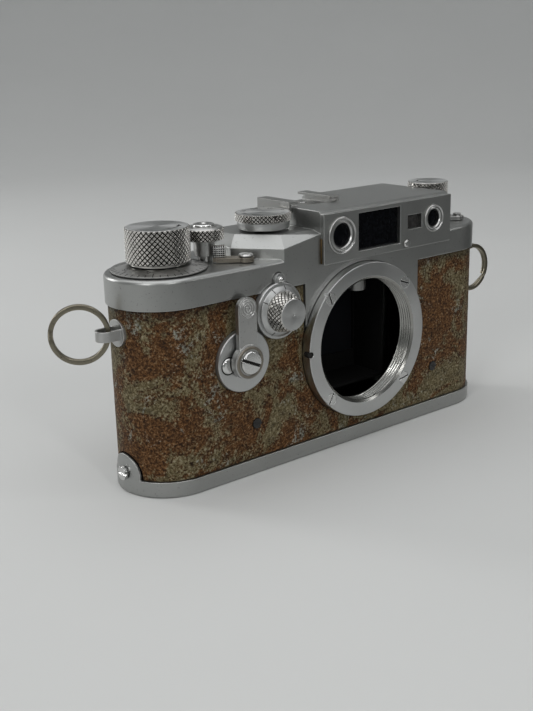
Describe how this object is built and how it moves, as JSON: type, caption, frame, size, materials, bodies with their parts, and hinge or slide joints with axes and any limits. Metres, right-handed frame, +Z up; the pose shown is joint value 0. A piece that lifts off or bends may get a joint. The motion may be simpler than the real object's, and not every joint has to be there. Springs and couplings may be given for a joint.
{
  "type": "rangefinder camera",
  "caption": "Small metal-bodied film camera with rounded ends, screw lens mount, rangefinder windows, knurled dials, self-timer lever, strap rings and drop-down base.",
  "frame": {"origin": "centre of the underside of the base plate", "axes": "+X to the right seen from the front, -Y out of the lens mount, +Z up"},
  "size_m": [0.1702, 0.0385, 0.0749],
  "materials": {
    "satin_chrome": "satin plated brass, fine grain",
    "satin_fittings": "satin plated, knurled where gripped",
    "bright_chrome": "polished plating",
    "screw_steel": "turned and slotted",
    "black_enamel": "matte black",
    "black_screws": "black slotted heads",
    "spring_steel": "plain",
    "brass": "dull, aged",
    "covering": "rough weathered hide, rust brown with grey green patches",
    "curtain_cloth": "black rubberised cloth",
    "window_glass": "dark coated glass",
    "ring_wire": "worn plating over brass"
  },
  "bodies": {
    "camera_body": {"shell_front": "black_enamel", "shell_back": "black_enamel", "shell_left": "black_enamel", "shell_right": "black_enamel", "body_covering": "covering", "body_screws": "black_screws", "top_plate": "brass", "top_cover": "satin_chrome", "window_plate": "satin_chrome", "viewfinder_window": "window_glass", "brightline_window": "window_glass", "rangefinder_bezels": "bright_chrome", "rangefinder_windows": "window_glass", "plate_screw": "screw_steel", "lens_mount_ring": "bright_chrome", "mount_screws": "screw_steel", "light_box": "black_enamel", "shutter_curtain": "curtain_cloth", "film_gate": "black_enamel", "pressure_plate": "spring_steel", "strap_lugs": "satin_fittings", "accessory_shoe": "satin_fittings", "shoe_spring": "spring_steel", "shoe_screws": "screw_steel", "release_collar": "satin_fittings", "ar_lever_screw": "screw_steel", "slow_dial_base": "satin_fittings", "slow_dial_pin": "bright_chrome", "timer_disc": "satin_fittings", "eyepiece_bezels": "bright_chrome", "eyepiece_lenses": "window_glass", "sync_socket": "bright_chrome", "base_stud": "bright_chrome", "film_dial_ring": "satin_fittings"},
    "advance": {"advance_knob": "satin_fittings", "advance_gear": "brass"},
    "counter": {"counter_dial": "satin_fittings"},
    "take_up": {"take_up_spool": "black_enamel"},
    "sprocket": {"sprocket_drum": "spring_steel"},
    "idler": {"idler_gear": "brass"},
    "shutter_drum": {"curtain_drum": "black_enamel"},
    "roller": {"curtain_roller": "spring_steel"},
    "speed_dial": {"speed_dial": "satin_fittings", "speed_dial_ring": "satin_fittings"},
    "release": {"release_button": "bright_chrome"},
    "ar_lever": {"ar_lever": "satin_fittings"},
    "slow_dial": {"slow_dial_scale": "satin_fittings", "slow_dial_knob": "satin_fittings"},
    "timer_lever": {"timer_lever": "satin_fittings", "timer_screw": "screw_steel"},
    "timer_button": {"timer_button": "bright_chrome"},
    "rewind_shaft": {"rewind_shaft": "spring_steel"},
    "rewind_knob": {"rewind_knob": "satin_fittings"},
    "diopter_lever": {"diopter_lever": "satin_fittings"},
    "film_dial": {"film_dial": "satin_fittings"},
    "rangefinder_arm": {"rangefinder_arm": "brass"},
    "base": {"base_plate": "satin_chrome", "tripod_bush": "satin_fittings"},
    "lock_key": {"lock_key": "satin_fittings"},
    "lock_handle": {"lock_handle": "satin_fittings"},
    "ring_left": {"ring_left": "ring_wire"},
    "ring_right": {"ring_right": "ring_wire"}
  },
  "joints": [
    {"name": "advance_turn", "type": "hinge", "parent": "camera_body", "child": "advance", "pos_m": [-0.0535, 0, 0.068], "axis": [0, 0, 1], "continuous": true},
    {"name": "counter_turn", "type": "hinge", "parent": "camera_body", "child": "counter", "pos_m": [-0.0535, 0, 0.062], "axis": [0, 0, 1], "continuous": true},
    {"name": "take_up_turn", "type": "hinge", "parent": "camera_body", "child": "take_up", "pos_m": [-0.0535, 0, 0.03], "axis": [0, 0, 1], "continuous": true},
    {"name": "sprocket_turn", "type": "hinge", "parent": "camera_body", "child": "sprocket", "pos_m": [-0.038, 0, 0.03], "axis": [0, 0, 1], "continuous": true},
    {"name": "idler_turn", "type": "hinge", "parent": "camera_body", "child": "idler", "pos_m": [-0.02777, -0.00065, 0.055], "axis": [0, 0, 1], "continuous": true},
    {"name": "shutter_turn", "type": "hinge", "parent": "camera_body", "child": "shutter_drum", "pos_m": [-0.01754, -0.0013, 0.03], "axis": [0, 0, 1], "continuous": true},
    {"name": "roller_turn", "type": "hinge", "parent": "camera_body", "child": "roller", "pos_m": [0.034, 0.0025, 0.03], "axis": [0, 0, 1], "continuous": true},
    {"name": "speed_set", "type": "hinge", "parent": "shutter_drum", "child": "speed_dial", "pos_m": [-0.01754, -0.0013, 0.071], "axis": [0, 0, 1], "continuous": true},
    {"name": "release_press", "type": "slide", "parent": "camera_body", "child": "release", "axis": [0, 0, -1], "range_m": [0, 0.0012], "stiffness_N_per_m": 300, "springref_m": -0.001},
    {"name": "ar_turn", "type": "hinge", "parent": "camera_body", "child": "ar_lever", "pos_m": [-0.031, -0.0098, 0.062], "axis": [0, 0, 1], "range_deg": [0, 50]},
    {"name": "slow_set", "type": "hinge", "parent": "camera_body", "child": "slow_dial", "pos_m": [-0.0244, -0.018, 0.0474], "axis": [0, 1, 0], "range_deg": [-30, 210]},
    {"name": "timer_wind", "type": "hinge", "parent": "camera_body", "child": "timer_lever", "pos_m": [-0.0376, -0.018, 0.0356], "axis": [0, -1, 0], "range_deg": [0, 180]},
    {"name": "timer_press", "type": "slide", "parent": "camera_body", "child": "timer_button", "axis": [0, 1, 0], "range_m": [0, 0.0006], "stiffness_N_per_m": 150, "springref_m": -0.001},
    {"name": "rewind_turn", "type": "hinge", "parent": "camera_body", "child": "rewind_shaft", "pos_m": [0.0533, -0.0004, 0.06], "axis": [0, 0, 1], "continuous": true},
    {"name": "rewind_lift", "type": "slide", "parent": "rewind_shaft", "child": "rewind_knob", "axis": [0, 0, 1], "range_m": [0, 0.0045]},
    {"name": "diopter_turn", "type": "hinge", "parent": "camera_body", "child": "diopter_lever", "pos_m": [0.0533, -0.0004, 0.062], "axis": [0, 0, 1], "range_deg": [0, 60]},
    {"name": "film_dial_turn", "type": "hinge", "parent": "camera_body", "child": "film_dial", "pos_m": [-0.004, 0.0153, 0.029], "axis": [0, 1, 0], "continuous": true},
    {"name": "rangefinder_swing", "type": "hinge", "parent": "camera_body", "child": "rangefinder_arm", "pos_m": [-0.005, -0.008, 0.048], "axis": [0, 0, 1], "range_deg": [0, 13], "stiffness_Nm_per_rad": 0.02, "springref_deg": -5.73},
    {"name": "base_drop", "type": "hinge", "parent": "camera_body", "child": "base", "pos_m": [-0.0684, 0, 0.0059], "axis": [0, 1, 0], "range_deg": [0, 6]},
    {"name": "lock_turn", "type": "hinge", "parent": "base", "child": "lock_key", "pos_m": [0.049, 0, 0.001], "axis": [0, 0, 1], "range_deg": [0, 180]},
    {"name": "lock_fold", "type": "hinge", "parent": "lock_key", "child": "lock_handle", "pos_m": [0.049, 0, 0.0008], "axis": [-1, 0, 0], "range_deg": [0, 90]},
    {"name": "left_ring_swing", "type": "hinge", "parent": "camera_body", "child": "ring_left", "pos_m": [-0.07075, 0, 0.0463], "axis": [0.5, 0.866, 0], "range_deg": [-28, 28]},
    {"name": "right_ring_swing", "type": "hinge", "parent": "camera_body", "child": "ring_right", "pos_m": [0.07075, 0, 0.0463], "axis": [0, -1, 0], "range_deg": [0, 72]}
  ],
  "couplings": [
    {"joint": "counter_turn", "follows": "advance_turn", "ratio": 0.025},
    {"joint": "take_up_turn", "follows": "advance_turn", "ratio": 1},
    {"joint": "sprocket_turn", "follows": "advance_turn", "ratio": -1},
    {"joint": "idler_turn", "follows": "advance_turn", "ratio": 3.1},
    {"joint": "shutter_turn", "follows": "advance_turn", "ratio": -1},
    {"joint": "roller_turn", "follows": "advance_turn", "ratio": -1.9118}
  ]
}
